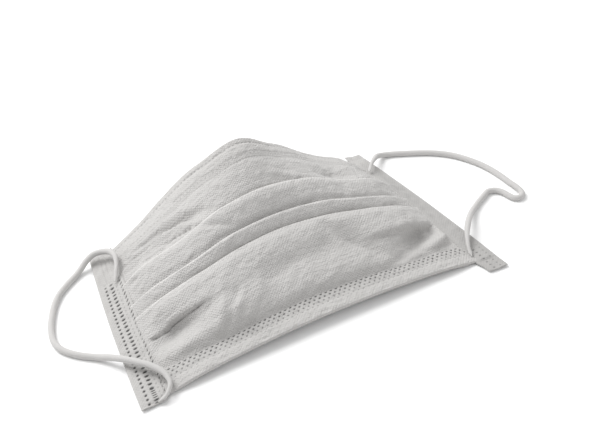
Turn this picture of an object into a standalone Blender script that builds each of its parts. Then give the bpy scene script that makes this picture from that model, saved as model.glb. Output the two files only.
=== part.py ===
"""A pleated surgical face mask that lies on a table with its outer face up and its nose wire bent to a peak.

The frame is +X to the wearer's side along the mask's width, +Y from the chin hem to the nose hem, +Z up.
"""

import math
from collections import namedtuple

import bmesh
import bpy
from mathutils import Matrix, Vector

# Driving sizes, in metres
BAND_LENGTH = 0.0927  # a side band between the hems' outer edges
HALF_BOTTOM = 0.0875  # from the middle to a side band's outer edge, along the chin hem
HALF_TOP = 0.0754  # the same along the nose hem, which the bent wire draws in
BAND_BOW = 0.0010  # how far the side edge bows out of a straight line
NOSE_RISE = 0.0420  # the nose hem's peak over its own ends

CLOTH = 0.0010  # wall of the mask's cloth
TAPE = 0.0010  # each layer of a hem or a side band
GAP = 0.0003  # between pieces that touch

BAND_WIDTH = 0.0130
BAND_MARGIN = 0.0042  # the left band's outer stretch, past the cloth's edge, which lies flat on the table
BAND_MARGIN_RIGHT = 0.0016  # the same on the right, where the tape was folded closer to the cloth
FOLD_EDGE = 0.0022  # thickness of a hem or band at its folded edge
CHIN_HEM_WIDTH = 0.0130
CHIN_HEM_FOLD = 0.0020  # from the hem's outer edge to the slot that holds the cloth
NOSE_HEM_WIDTH = 0.0120
NOSE_HEM_FOLD = 0.0025
WIRE_LENGTH_ACROSS = 0.0680  # span of the bent wire, measured straight across
WIRE_WIDTH = 0.0050
WIRE_THICKNESS = 0.0008
TAIL_CHIN_LEFT = 0.0020  # how far a band's tail runs past the hem
TAIL_CHIN_RIGHT = 0.0080
TAIL_NOSE_LEFT = 0.0015
TAIL_NOSE_RIGHT = 0.0050

PLEAT_DEPTH = 0.0060  # the cloth hidden under a pleat's edge, and as much again under that
PLEAT_PITCH = CLOTH + GAP  # from one layer of a pleat to the next
CROWN = 0.0015  # how far the lowest panel bulges out
DENT_DEPTH = 0.0046  # the deepest dent, beside the right band
LOOP_DIAMETER = 0.0028

HALF_SLOT = CLOTH / 2 + GAP  # half the slot between a hem's or band's two layers of tape
HALF_CLOSED = GAP / 2  # the same in a band's tail, which holds no cloth
REST = HALF_SLOT + TAPE  # height of the cloth's middle layer where a band lies on the table

# Places across the mask, from 0 in the middle to 1 at a band's outer edge
AT_SLOT = 1 - BAND_MARGIN / HALF_BOTTOM
AT_CLOTH_EDGE = AT_SLOT - GAP / HALF_TOP
AT_MOUTH = 1 - BAND_WIDTH / HALF_BOTTOM
AT_HEM_END = AT_MOUTH - GAP / HALF_TOP
PLEAT_FULL = 0.870 * AT_MOUTH  # a pleat has its full depth up to here,
PLEAT_SHALLOW = 0.930 * AT_MOUTH  # is a bare step from here,
PLEAT_OUT = 0.985 * AT_MOUTH  # and has run out here, at the band

# The lines across the cloth, from chin to nose. place is the share of the band's length from its chin end.
# The line bends back (+Y) from its own ends by back_middle in the middle and back_half halfway out, as shares
# of BAND_LENGTH, and rises by rise_0 to rise_75 at 0 to 75 % of the way out, as shares of NOSE_RISE.
Row = namedtuple("Row", "name place back_middle back_half rise_0 rise_25 rise_50 rise_75")
ROWS = [
    Row("chin_edge", 0.0, 0.035, 0.025, 0.058, 0.053, 0.034, 0.01),
    Row("chin_hem_line", CHIN_HEM_WIDTH / BAND_LENGTH, 0.018, 0.001, 0.092, 0.087, 0.048, 0.01),
    Row("lower_pleat", 0.480, 0.003, -0.035, 0.464, 0.454, 0.367, 0.184),
    Row("middle_pleat", 0.567, -0.025, -0.060, 0.561, 0.551, 0.435, 0.222),
    Row("upper_pleat", 0.708, -0.046, -0.055, 0.745, 0.690, 0.485, 0.270),
    Row("nose_hem_line", 1 - NOSE_HEM_WIDTH / BAND_LENGTH, -0.050, -0.012, 0.915, 0.750, 0.430, 0.180),
    Row("nose_edge", 1.0, -0.054, 0.022, 1.0, 0.757, 0.360, 0.095),
]

# How each pleat is folded. depth is a share of PLEAT_DEPTH. ahead is how far the hidden layer runs on past
# the pleat's edge before the next panel turns up, in layers.
Pleat = namedtuple("Pleat", "depth ahead")
PLEATS = {
    "lower_pleat": Pleat(1.0, 0.5),
    "middle_pleat": Pleat(0.75, 1.7),
    "upper_pleat": Pleat(1.0, 0.2),
}

# How many cells the cloth and the side bands have in each panel, named by the line below it, and how far the
# panel bulges out, as a share of CROWN
Panel = namedtuple("Panel", "cells band_cells crown")
PANELS = {
    "chin_edge": Panel(2, 2, 0.0),
    "chin_hem_line": Panel(8, 4, 1.0),
    "lower_pleat": Panel(2, 1, 0.0),
    "middle_pleat": Panel(3, 1, 0.5),
    "upper_pleat": Panel(3, 2, 0.4),
    "nose_hem_line": Panel(2, 2, 0.0),
}

# The main ridges of the panels and their dents, whose height is below 0, as a share of DENT_DEPTH. across
# and up are the place, across the mask and up the panel, and half_across and half_up how far it reaches from
# there. lean moves it up its panel for each unit to the right.
Dent = namedtuple("Dent", "panel across up half_across half_up height lean")
DENTS = [
    Dent("chin_hem_line", -0.74, 0.50, 0.22, 0.30, -0.83, -0.5),
    Dent("chin_hem_line", 0.72, 0.56, 0.24, 0.34, -1.0, 0.5),
    Dent("chin_hem_line", -0.44, 0.42, 0.13, 0.40, 0.52, 0.0),
    Dent("chin_hem_line", 0.28, 0.55, 0.16, 0.36, -0.48, -0.9),
    Dent("upper_pleat", -0.66, 0.45, 0.20, 0.40, -0.35, 0.0),
    Dent("upper_pleat", 0.50, 0.35, 0.16, 0.40, -0.39, 0.0),
]

# Sections across the mask from the middle outwards
CLOTH_SECTIONS = [0.0, 0.06, 0.13, 0.21, 0.30, 0.40, 0.50, 0.60, 0.68]
PLEAT_END_SECTIONS = 4
LIP_SECTIONS = (0, 0.35, 0.7)  # shares of the way from a band's mouth to the bottom of its slot
TAIL_CLOSES = 0.25  # share of a band's tail in which its slot closes
TURN_CELLS = 4  # cells round a pleat's half turn
UNFOLDED_TURN = math.radians(30)  # what is left of the half turn where a pleat runs out

# Each ear loop's middle line, from its weld at the nose end round to its weld at the chin end: (x, y, z) in
# millimetres, before the mask is centred. Both lie on the table outside the bands and pass over their edges.
LOOP_ROUTES = {
    "ear_loop_left": [
        (-71.5, 22.5, 8.3), (-69.3, 26.5, 8.4), (-67.2, 30.8, 8.4), (-66.1, 35.2, 8.7), (-66.9, 39.6, 7.9),
        (-69.7, 43.0, 6.5), (-73.7, 44.3, 5.5), (-77.7, 43.3, 4.1), (-81.4, 41.4, 2.2), (-85.2, 39.0, 1.45),
        (-89.6, 36.0, 1.4), (-94.3, 32.1, 1.4), (-98.3, 27.1, 1.4), (-101.7, 20.7, 1.4),
        (-104.6, 13.4, 1.4), (-106.0, 6.3, 1.4), (-105.2, 0.4, 1.4), (-102.3, -4.4, 1.4),
        (-98.2, -8.6, 1.4), (-93.4, -12.6, 1.7), (-89.2, -17.0, 3.3), (-84.8, -22.4, 4.9),
        (-80.2, -27.9, 5.6), (-76.0, -33.1, 5.7), (-73.4, -38.4, 5.7), (-73.3, -43.2, 5.5),
        (-76.2, -46.7, 5.2), (-80.6, -47.7, 4.9),
    ],
    "ear_loop_right": [
        (66.0, 31.0, 9.1), (69.6, 35.0, 7.6), (73.4, 38.8, 6.0), (77.4, 42.1, 4.2), (81.6, 43.7, 2.1),
        (86.4, 42.8, 1.4), (91.8, 40.2, 1.4), (99.6, 36.1, 1.4), (107.0, 31.2, 1.4), (112.8, 25.4, 1.4),
        (117.4, 18.0, 1.4), (120.7, 10.1, 1.4), (122.6, 1.2, 1.4), (123.4, -7.6, 1.4), (123.4, -14.4, 1.4),
        (121.9, -18.4, 1.4), (118.9, -18.6, 1.4), (117.5, -14.9, 1.4), (116.6, -10.9, 1.4),
        (114.2, -8.2, 1.4), (110.4, -7.6, 1.4), (105.2, -9.8, 1.4), (99.6, -12.8, 1.4), (93.4, -17.0, 2.3),
        (86.4, -23.6, 4.7), (80.4, -30.6, 5.7), (76.4, -37.0, 5.7), (74.6, -42.4, 5.5),
    ],
}
LOOP_STEP = 1.0 * LOOP_DIAMETER  # between the tube's points
MM = 0.001


def blend(a, b, t):
    return a + (b - a) * t


def smooth(t):
    """0 to 1 with flat ends."""
    t = min(1.0, max(0.0, t))
    return t * t * (3 - 2 * t)


def curve_through(knots, values, x):
    """A smooth curve through the values that never overshoots them, level at its first and last knot."""
    x = min(max(x, knots[0]), knots[-1])
    steps = [(values[i + 1] - values[i]) / (knots[i + 1] - knots[i]) for i in range(len(knots) - 1)]
    slopes = [0.0]
    for before, after in zip(steps, steps[1:]):
        slopes.append(0.0 if before * after <= 0 else 2 * before * after / (before + after))
    slopes.append(0.0)
    i = max(k for k in range(len(steps)) if knots[k] <= x)
    width = knots[i + 1] - knots[i]
    t = (x - knots[i]) / width
    return (
        values[i] * (1 + 2 * t) * (1 - t) ** 2
        + values[i + 1] * t * t * (3 - 2 * t)
        + width * (slopes[i] * t * (1 - t) ** 2 - slopes[i + 1] * t * t * (1 - t))
    )


def side_edge(place):
    """(x, y) of the right band's outer edge at a share of its length from the chin end, past the ends too."""
    reach_y = math.sqrt(BAND_LENGTH**2 - (HALF_BOTTOM - HALF_TOP) ** 2)
    inside = min(1.0, max(0.0, place))
    bow = BAND_BOW * 4 * inside * (1 - inside)
    return blend(HALF_BOTTOM, HALF_TOP, place) + bow, reach_y * (place - 0.5)


def line_point(row, across, place=None):
    """The point of a line across the cloth, from -1 at the left band's outer edge to 1 at the right one's."""
    half, y = side_edge(row.place if place is None else place)
    out = abs(across)
    back = curve_through([-0.5, 0, 0.5, 1], [row.back_half, row.back_middle, row.back_half, 0], out)
    rises = [row.rise_25, row.rise_0, row.rise_25, row.rise_50, row.rise_75, 0.0, 0.0]
    rise = curve_through([-0.25, 0, 0.25, 0.5, 0.75, AT_SLOT, 1], rises, out)
    return Vector((half * across, y + BAND_LENGTH * back, REST + NOSE_RISE * rise))


def cloth_point(across, place):
    """The cloth's middle layer with its pleats ironed out, for what is folded round its edges."""
    if place < 0:
        return line_point(ROWS[0], across, place)
    if place > 1:
        return line_point(ROWS[-1], across, place)
    k = max(i for i in range(len(ROWS) - 1) if ROWS[i].place <= place)
    t = (place - ROWS[k].place) / (ROWS[k + 1].place - ROWS[k].place)
    return line_point(ROWS[k], across).lerp(line_point(ROWS[k + 1], across), t)


def cloth_normal(across, place):
    step = 0.004
    out = min(1 - step, max(step - 1, across))
    up = min(1 - step, max(step, place))
    sideways = cloth_point(out + step, place) - cloth_point(out - step, place)
    upwards = cloth_point(across, up + step) - cloth_point(across, up - step)
    return sideways.cross(upwards).normalized()


def pleat_opening(out):
    """0 where a pleat is folded flat, to 1 where it has run out towards the band."""
    return min(1.0, max(0.0, (out - PLEAT_SHALLOW) / (PLEAT_OUT - PLEAT_SHALLOW)))


def pleat_path(pleat, out):
    """(ahead, down) points of a pleat: a turn, a hidden run back, a turn the other way and a run ahead."""
    radius = PLEAT_PITCH / 2
    depth = pleat.depth * PLEAT_DEPTH
    opening = pleat_opening(out)
    turn = math.pi - (math.pi - UNFOLDED_TURN) * min(1.0, opening / 0.6)
    fade = 1 - smooth(2 * opening - 1)
    if opening > 0:
        run = 2 * radius / math.tan(turn / 2)
    else:
        run = depth * (1 - smooth((out - PLEAT_FULL) / (PLEAT_SHALLOW - PLEAT_FULL)))
    angles = [turn * i / TURN_CELLS for i in range(TURN_CELLS + 1)]
    path = [(radius * math.sin(a), radius * (1 - math.cos(a))) for a in angles]
    ahead, down = path[-1]
    ahead += run * math.cos(turn)
    down += run * math.sin(turn)
    for a in reversed(angles):
        step = radius * (math.sin(turn) - math.sin(a)), radius * (math.cos(a) - math.cos(turn))
        path.append((ahead + step[0], down + step[1]))
    ahead, down = path[-1]
    path.append((max(ahead, 0.0) + pleat.ahead * PLEAT_PITCH, down))
    return [(a, d * fade) for a, d in path]


def relief(panel, across, up):
    """How far the panel stands out at a place, from its crown and the dents; nothing at its two lines."""
    height = PANELS[panel].crown * CROWN * (1 - across * across)
    for dent in DENTS:
        if dent.panel == panel:
            centre = dent.up + dent.lean * (across - dent.across)
            x = (across - dent.across) / dent.half_across
            y = (up - centre) / dent.half_up
            height += dent.height * DENT_DEPTH * math.exp(-2 * (x * x + y * y))
    inside_bands = smooth((AT_MOUTH - abs(across)) / (AT_MOUTH - PLEAT_SHALLOW))
    return height * (1 - (2 * up - 1) ** 4) * inside_bands


def cloth_section(across):
    """The middle layer's points from the chin edge to the nose edge at one place across the mask."""
    tuck = 0.5 * (CHIN_HEM_FOLD + GAP) / BAND_LENGTH
    start = cloth_point(across, 2 * tuck)
    points = [start]
    for below, above, beyond in zip(ROWS, ROWS[1:], ROWS[2:] + ROWS[-1:]):
        end = line_point(above, across)
        if above.name == "nose_edge":
            end = cloth_point(across, 1 - (NOSE_HEM_FOLD + WIRE_WIDTH + 3 * GAP) / BAND_LENGTH)
        sideways = line_point(above, across + 0.01) - line_point(above, across - 0.01)
        upwards = (end - start).normalized()
        normal = sideways.cross(upwards).normalized()
        cells = PANELS[below.name].cells
        for i in range(1, cells + 1):
            up = i / cells
            points.append(start.lerp(end, up) + normal * relief(below.name, across, up))
        start = end
        if above.name in PLEATS:
            onwards = (line_point(beyond, across) - end).normalized()
            onwards = upwards.lerp(onwards, pleat_opening(abs(across))).normalized()
            for ahead, down in pleat_path(PLEATS[above.name], abs(across))[1:]:
                along = onwards if ahead > 0 else upwards
                points.append(end + along * ahead - normal * down)
            start = points[-1]
    return points


def cloth_places():
    """Places of the sections across the mask, close together where the pleats run out."""
    ends = [blend(PLEAT_FULL, PLEAT_SHALLOW, t) for t in (0, 1)]
    ends += [blend(PLEAT_SHALLOW, PLEAT_OUT, (i + 1) / PLEAT_END_SECTIONS) for i in range(PLEAT_END_SECTIONS)]
    ends += [blend(AT_MOUTH, AT_SLOT, t) for t in LIP_SECTIONS] + [AT_CLOTH_EDGE]
    right = [place for place in CLOTH_SECTIONS if place < PLEAT_FULL] + ends
    return [-place for place in reversed(right[1:])] + right


def material(name, colour, roughness):
    """A matt fibre material."""
    made = bpy.data.materials.new(name)
    made.use_nodes = True
    shader = made.node_tree.nodes["Principled BSDF"]
    shader.inputs["Base Color"].default_value = (*colour, 1)
    shader.inputs["Roughness"].default_value = roughness
    shader.inputs["Metallic"].default_value = 0.0
    return made


def add_object(name, points, faces, finish):
    mesh = bpy.data.meshes.new(name)
    mesh.from_pydata(points, [], faces)
    shape = bmesh.new()
    shape.from_mesh(mesh)
    bmesh.ops.recalc_face_normals(shape, faces=shape.faces)
    shape.to_mesh(mesh)
    shape.free()
    mesh.materials.append(finish)
    mesh.shade_smooth()
    mesh.set_sharp_from_angle(angle=math.radians(40))
    made = bpy.data.objects.new(name, mesh)
    bpy.context.scene.collection.objects.link(made)
    return made


def sweep(name, sections, cells, finish):
    """A closed solid through sections of the same points. cells are the section's own quads."""
    size = len(sections[0])
    edges = {(cell[i], cell[(i + 1) % len(cell)]) for cell in cells for i in range(len(cell))}
    rim = [edge for edge in edges if (edge[1], edge[0]) not in edges]
    last = size * (len(sections) - 1)
    faces = [tuple(reversed(cell)) for cell in cells]
    faces += [tuple(last + i for i in cell) for cell in cells]
    for k in range(len(sections) - 1):
        low, high = size * k, size * (k + 1)
        faces += [(low + a, low + b, high + b, high + a) for a, b in sorted(rim)]
    return add_object(name, [point for section in sections for point in section], faces, finish)


def mask_body(finish):
    """The pleated cloth, a wall of CLOTH about its middle layer."""
    places = cloth_places()
    rows = [cloth_section(across) for across in places]
    sections = []
    for i, row in enumerate(rows):
        left, right = rows[max(i - 1, 0)], rows[min(i + 1, len(rows) - 1)]
        section = []
        for j, point in enumerate(row):
            upwards = row[min(j + 1, len(row) - 1)] - row[max(j - 1, 0)]
            normal = (right[j] - left[j]).cross(upwards).normalized()
            section += [point - normal * CLOTH / 2, point + normal * CLOTH / 2]
        sections.append(section)
    cells = [(2 * j, 2 * j + 2, 2 * j + 3, 2 * j + 1) for j in range(len(rows[0]) - 1)]
    return sweep("mask_body", sections, cells, finish)


def sweep_used(name, sections, cells, finish):
    """sweep() without the section points that no cell uses."""
    used = sorted({i for cell in cells for i in cell})
    number = {old: new for new, old in enumerate(used)}
    kept = [[section[i] for i in used] for section in sections]
    return sweep(name, kept, [tuple(number[i] for i in cell) for cell in cells], finish)


def folded_strip(name, stations, point_at, depths, slot_from, finish):
    """A strip folded over the cloth's edge: two layers of tape with a slot between them, and a closed fold.

    depths run from the slot's mouth to the fold's outer edge, and those from slot_from on have no slot.
    point_at(station, depth) gives the strip's middle there, its normal and half the slot's height.
    """
    lips = [i for i, depth in enumerate(depths) if depth <= slot_from]
    solid = [i for i, depth in enumerate(depths) if depth >= slot_from]
    sections = []
    for station in stations:
        section = []
        for depth in depths:
            point, normal, inner = point_at(station, depth)
            outer = inner + TAPE
            share = max(0.0, (depth - slot_from) / (depths[-1] - slot_from))
            top = blend(outer, min(outer, FOLD_EDGE - outer), share)
            section += [point + normal * height for height in (-outer, -inner, inner, top)]
        sections.append(section)
    cells = []
    for a, b in zip(lips, lips[1:]):
        cells.append((4 * a, 4 * b, 4 * b + 1, 4 * a + 1))
        cells.append((4 * a + 2, 4 * b + 2, 4 * b + 3, 4 * a + 3))
    a, b = solid[0], solid[1]
    cells.append((4 * a, 4 * b, 4 * b + 3, 4 * a + 3, 4 * a + 2, 4 * a + 1))
    cells += [(4 * a, 4 * b, 4 * b + 3, 4 * a + 3) for a, b in zip(solid[1:], solid[2:])]
    return sweep_used(name, sections, cells, finish)


def side_band(name, side, margin, tail_chin, tail_nose, finish):
    """The tape folded over the cloth's side edge, with a tail past each hem. side is -1 left or 1 right."""
    chin_end, nose_end = -tail_chin / BAND_LENGTH, 1 + tail_nose / BAND_LENGTH
    stations = [chin_end, TAIL_CLOSES * chin_end, 0.0]
    for below, above in zip(ROWS, ROWS[1:]):
        cells = PANELS[below.name].band_cells
        stations += [blend(below.place, above.place, (i + 1) / cells) for i in range(cells)]
    stations += [blend(1, nose_end, TAIL_CLOSES), nose_end]
    depths = [blend(AT_MOUTH, AT_SLOT, t) for t in LIP_SECTIONS] + [AT_SLOT, AT_SLOT + margin / HALF_BOTTOM]

    def point_at(place, out):
        middle, normal = cloth_point(side * out, place), cloth_normal(side * out, place)
        if 0 <= place <= 1:
            return middle, normal, HALF_SLOT
        return middle - normal * (HALF_SLOT - HALF_CLOSED), normal, HALF_CLOSED

    return folded_strip(name, stations, point_at, depths, AT_SLOT, finish)


def hem_places():
    """Places of a hem's sections across the mask, those of the cloth as far as the bands."""
    inside = [place for place in cloth_places() if abs(place) < PLEAT_OUT]
    kept = [place for place in inside if not PLEAT_SHALLOW < abs(place)]
    return [-AT_HEM_END] + kept + [AT_HEM_END]


def hem(name, width, fold, at_nose, finish):
    """A strip folded over the cloth's chin or nose edge, between the side bands."""
    depths = [-width, blend(-width, -fold, 0.5), -fold, 0.0]

    def point_at(across, depth):
        place = 1 + depth / BAND_LENGTH if at_nose else -depth / BAND_LENGTH
        return cloth_point(across, place), cloth_normal(across, place), HALF_SLOT

    return folded_strip(name, hem_places(), point_at, depths, -fold, finish)


def nose_wire(finish):
    """The flat wire in the nose hem's slot, beside the cloth's edge."""
    reach = WIRE_LENGTH_ACROSS / 2 / HALF_TOP
    near_edge = 1 - (NOSE_HEM_FOLD + GAP) / BAND_LENGTH
    near_cloth = near_edge - WIRE_WIDTH / BAND_LENGTH
    inside = [place for place in cloth_places() if abs(place) < reach]
    sections = []
    for across in [-reach, *inside, reach]:
        section = []
        for place, side in ((near_cloth, -1), (near_edge, -1), (near_edge, 1), (near_cloth, 1)):
            lift = cloth_normal(across, place) * (side * WIRE_THICKNESS / 2)
            section.append(cloth_point(across, place) + lift)
        sections.append(section)
    return sweep("nose_wire", sections, [(0, 1, 2, 3)], finish)


def smooth_route(corners, step):
    """Points about a step apart on a smooth curve through the corners."""
    ends = [corners[0] * 2 - corners[1], *corners, corners[-1] * 2 - corners[-2]]
    fine = []
    for before, start, end, after in zip(ends, ends[1:], ends[2:], ends[3:]):
        for i in range(12):
            t = i / 12
            out, back = (end - before) / 2, (after - start) / 2
            fine.append(
                start * (1 + 2 * t) * (1 - t) ** 2 + end * t * t * (3 - 2 * t)
                + out * t * (1 - t) ** 2 - back * t * t * (1 - t)
            )
    fine.append(corners[-1])
    total = sum((b - a).length for a, b in zip(fine, fine[1:]))
    count = round(total / step)
    points, wanted, done = [fine[0]], total / count, 0.0
    for a, b in zip(fine, fine[1:]):
        while done + (b - a).length >= wanted * len(points) and len(points) < count:
            points.append(a.lerp(b, (wanted * len(points) - done) / (b - a).length))
        done += (b - a).length
    return points + [fine[-1]]


def ear_loop(name, finish):
    """The loop of round elastic, as a tube along its route."""
    route = smooth_route([Vector(corner) * MM for corner in LOOP_ROUTES[name]], LOOP_STEP)
    line = bpy.data.curves.new(name, "CURVE")
    line.dimensions = "3D"
    line.bevel_depth = LOOP_DIAMETER / 2
    line.bevel_resolution = 2
    line.use_fill_caps = True
    spline = line.splines.new("POLY")
    spline.points.add(len(route) - 1)
    for point, place in zip(spline.points, route):
        point.co = (*place, 1)
    line.materials.append(finish)
    made = bpy.data.objects.new(name, line)
    bpy.context.scene.collection.objects.link(made)
    return made


def centre_on_table(pieces, loops):
    """Moves everything so that the box round the pieces has its middle over the origin, across and along."""
    corners = [vertex.co for piece in pieces for vertex in piece.data.vertices]
    middle = [(min(c[i] for c in corners) + max(c[i] for c in corners)) / 2 for i in range(2)]
    shift = Matrix.Translation((-middle[0], -middle[1], 0))
    for item in pieces + loops:
        item.data.transform(shift)


def remove_everything():
    for item in list(bpy.context.scene.objects):
        bpy.data.objects.remove(item, do_unlink=True)


def main():
    remove_everything()
    cloth = material("cloth", (0.78, 0.77, 0.76), 0.9)
    tape = material("tape", (0.76, 0.75, 0.74), 0.85)
    wire = material("wire", (0.80, 0.80, 0.80), 0.5)
    elastic = material("elastic", (0.80, 0.79, 0.78), 0.9)
    pieces = [
        mask_body(cloth),
        hem("chin_hem", CHIN_HEM_WIDTH, CHIN_HEM_FOLD, False, tape),
        hem("nose_hem", NOSE_HEM_WIDTH, NOSE_HEM_FOLD, True, tape),
        nose_wire(wire),
        side_band("side_band_left", -1, BAND_MARGIN, TAIL_CHIN_LEFT, TAIL_NOSE_LEFT, tape),
        side_band("side_band_right", 1, BAND_MARGIN_RIGHT, TAIL_CHIN_RIGHT, TAIL_NOSE_RIGHT, tape),
    ]
    centre_on_table(pieces, [ear_loop(name, elastic) for name in LOOP_ROUTES])


main()
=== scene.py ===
"""The looks of a pleated surgical face mask that lies on a pale floor, seen from its lower left."""

import math
from collections import namedtuple

import bpy
import numpy as np
from mathutils import Matrix, Vector


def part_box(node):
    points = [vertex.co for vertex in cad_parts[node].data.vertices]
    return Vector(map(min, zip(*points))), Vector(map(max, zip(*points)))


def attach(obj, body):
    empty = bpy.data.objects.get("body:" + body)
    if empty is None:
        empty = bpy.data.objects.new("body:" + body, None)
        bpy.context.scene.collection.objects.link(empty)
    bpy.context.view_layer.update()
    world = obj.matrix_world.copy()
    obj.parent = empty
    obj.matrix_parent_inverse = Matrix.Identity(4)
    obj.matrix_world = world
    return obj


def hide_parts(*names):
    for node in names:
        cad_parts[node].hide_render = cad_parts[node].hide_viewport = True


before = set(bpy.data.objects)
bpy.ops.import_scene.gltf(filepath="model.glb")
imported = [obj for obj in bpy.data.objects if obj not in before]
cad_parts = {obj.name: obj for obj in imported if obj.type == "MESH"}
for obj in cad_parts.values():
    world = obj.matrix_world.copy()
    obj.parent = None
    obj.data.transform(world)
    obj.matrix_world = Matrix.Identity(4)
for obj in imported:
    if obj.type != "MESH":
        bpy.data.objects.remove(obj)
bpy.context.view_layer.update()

# The mask's sizes, as in the frame, in metres
BAND_LENGTH = 0.0927
HALF_BOTTOM = 0.0875
HALF_TOP = 0.0754
BAND_BOW = 0.0010
NOSE_RISE = 0.0420
BAND_WIDTH = 0.0130
BAND_MARGIN = 0.0042
BAND_MARGIN_RIGHT = 0.0016
CHIN_HEM_WIDTH = 0.0130
NOSE_HEM_WIDTH = 0.0120
TAIL_CHIN_LEFT = 0.0020
TAIL_CHIN_RIGHT = 0.0080
TAIL_NOSE_LEFT = 0.0015
TAIL_NOSE_RIGHT = 0.0050
PLEAT_DEPTH = 0.0060
DENT_DEPTH = 0.0046
CROWN = 0.0015
REST = 0.0018
LOOP_DIAMETER = 0.0028
WIRE_LENGTH_ACROSS = 0.0680
MM = 0.001

# Places across the mask, as shares of its half width
AT_SLOT = 1 - BAND_MARGIN / HALF_BOTTOM  # the bottom of a band's slot
AT_MOUTH = 1 - BAND_WIDTH / HALF_BOTTOM  # the slot's mouth, at the band's inner edge
LOOSE_FROM = AT_MOUTH + 0.005  # inside this the cloth is free of the band
SETTLE_FROM = 0.68  # from here to the band the thin cloth comes down towards the table
LEAN_FADE = 0.10

# The cloth, finer than the frame's solids
CLOTH = 0.55 * MM
CLOTH_PRESSED = 0.35 * MM  # inside a side band
LAYER = 0.8 * MM  # from one layer of a pleat to the next
LAYER_PRESSED = 0.45 * MM
TAPE = 0.35 * MM
TAPE_PRESSED = 0.22 * MM  # a hem's tape inside a side band
BAND_LIFT = 0.85 * MM  # from the cloth's middle to a band's tape
FOLD_LIFT = 0.50 * MM  # the same at the band's folded edge
PRESSED_LIFT = 0.33 * MM  # the same where the tape is pressed down on the cloth
TUCKED_LIFT = -0.12 * MM  # the same at a pressed edge, which is melted into the cloth
HEM_LIFT = 0.70 * MM
SINK = 0.76 * MM  # how far thin cloth and tape settle below the frame's middle layer at the bands
SWELL = 0.40 * MM  # how far they stand above it between the bands
UNDER_HEM = 0.50 * MM  # how far the cloth sinks under a hem
CLOTH_START = 1.5 * MM  # where the cloth begins, in from the chin edge
CLOTH_END = NOSE_HEM_WIDTH - 3.0 * MM  # and where it ends, in from the nose edge
PRESS_FROM = 2.8 * MM  # a folded strip comes down towards its inner edge from here
PRESS_OVER = 2.0 * MM
TUCK_OVER = 0.8 * MM  # and melts into the cloth over this last bit
EDGE_PLAIN = 0.6 * MM  # this much of a strip's inner edge has no relief
EDGE_FADE = 2.4 * MM

# Painted shade and highlight: hollows are painted darker, as less light gets into them, and the pleats' thin
# edges paler
DEEP = 5.0 * MM  # a hollow of this depth gets the full painted shade
HOLLOW_SHADE = 0.36  # how dark that painted shade is, as a share of a melted dot
FOLD_SHINE = 0.55  # how much paler a pleat's folded edge is painted, as a share of HOLLOW_SHADE: a painted highlight
FOLD_REACH = 0.6 * MM
FOLD_ROWS = 4  # rows round the fold that are painted as pale

# Steps of the meshes
CELL = 0.72 * MM
FINE_CELL = 0.30 * MM
HEM_CELL = 0.36 * MM
HEM_COLUMNS = 520
SLOT_COLUMNS = 8
TURN_POINTS = 7  # round a pleat's fold
FOLD_POINTS = 9  # round a hem's or band's fold
SHARP = math.radians(60)  # where faces meet at more than this, the edge is shaded sharp

# Fine ripples: waves of many lengths between two limits in millimetres, stretched across by a factor
Ripples = namedtuple("Ripples", "height count longest shortest stretch seed")
CLOTH_WAVES = Ripples(0.11, 26, 22.0, 7.0, 1.0, 11)
CLOTH_CREPE = Ripples(0.075, 60, 6.0, 2.2, 1.4, 12)
HEM_WAVES = Ripples(0.12, 20, 16.0, 6.0, 1.0, 5)
HEM_CREPE = Ripples(0.07, 60, 6.0, 2.2, 1.0, 8)
BAND_WAVES = Ripples(0.10, 24, 14.0, 4.0, 1.0, 3)

# How far inside the bands the cloth's relief takes to grow to its full height, as shares of the half width
LAYERS_OVER = 0.09
DENTS_OVER = 0.12
PUFFS_OVER = 0.24
RELIEF_OVER = 0.035
WRINKLES_RISE = 8  # wrinkles grow to full height in an eighth of a panel's height from its edges
CREPE_RISE = 20  # and the crepe in a twentieth

# The lines across the cloth from chin to nose, as in the frame
Row = namedtuple("Row", "name place back_middle back_half rise_0 rise_25 rise_50 rise_75")
ROWS = [
    Row("chin_edge", 0.0, 0.035, 0.025, 0.058, 0.053, 0.034, 0.01),
    Row("chin_hem_line", CHIN_HEM_WIDTH / BAND_LENGTH, 0.018, 0.001, 0.092, 0.087, 0.048, 0.01),
    Row("lower_pleat", 0.480, 0.003, -0.035, 0.464, 0.454, 0.367, 0.184),
    Row("middle_pleat", 0.567, -0.025, -0.060, 0.561, 0.551, 0.435, 0.222),
    Row("upper_pleat", 0.708, -0.046, -0.055, 0.745, 0.690, 0.485, 0.270),
    Row("nose_hem_line", 1 - NOSE_HEM_WIDTH / BAND_LENGTH, -0.050, -0.012, 0.915, 0.750, 0.430, 0.180),
    Row("nose_edge", 1.0, -0.054, 0.022, 1.0, 0.757, 0.360, 0.095),
]

# The nose line isn't even: it stands higher at the left of its peak and lower at the right
Lean = namedtuple("Lean", "across half_across height")
LEANS = [
    Lean(-0.47, 0.17, 1.5 * MM),
    Lean(0.24, 0.15, -1.7 * MM),
    Lean(0.74, 0.12, 1.4 * MM),
]
LEAN_FROM = 0.62  # the share of the way up the mask where this starts

# How deep each pleat is, as a share of PLEAT_DEPTH, and how far its hidden layer runs on past the
# pleat's edge, in layers
Pleat = namedtuple("Pleat", "depth ahead")
PLEATS = {
    "lower_pleat": Pleat(1.0, 0.5),
    "middle_pleat": Pleat(0.75, 1.7),
    "upper_pleat": Pleat(1.0, 0.2),
}
CROWNS = {"chin_hem_line": 1.0, "middle_pleat": 0.5, "upper_pleat": 0.4}

# How far each panel puffs out, and how far from its lower and upper edges that takes, in millimetres
Puff = namedtuple("Puff", "height from_below from_above")
PUFFS = {
    "chin_hem_line": Puff(1.0, 5.0, 3.6),
    "lower_pleat": Puff(0.5, 2.5, 3.0),
    "middle_pleat": Puff(0.5, 2.5, 3.4),
    "upper_pleat": Puff(0.2, 2.0, 6.0),
}

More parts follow.
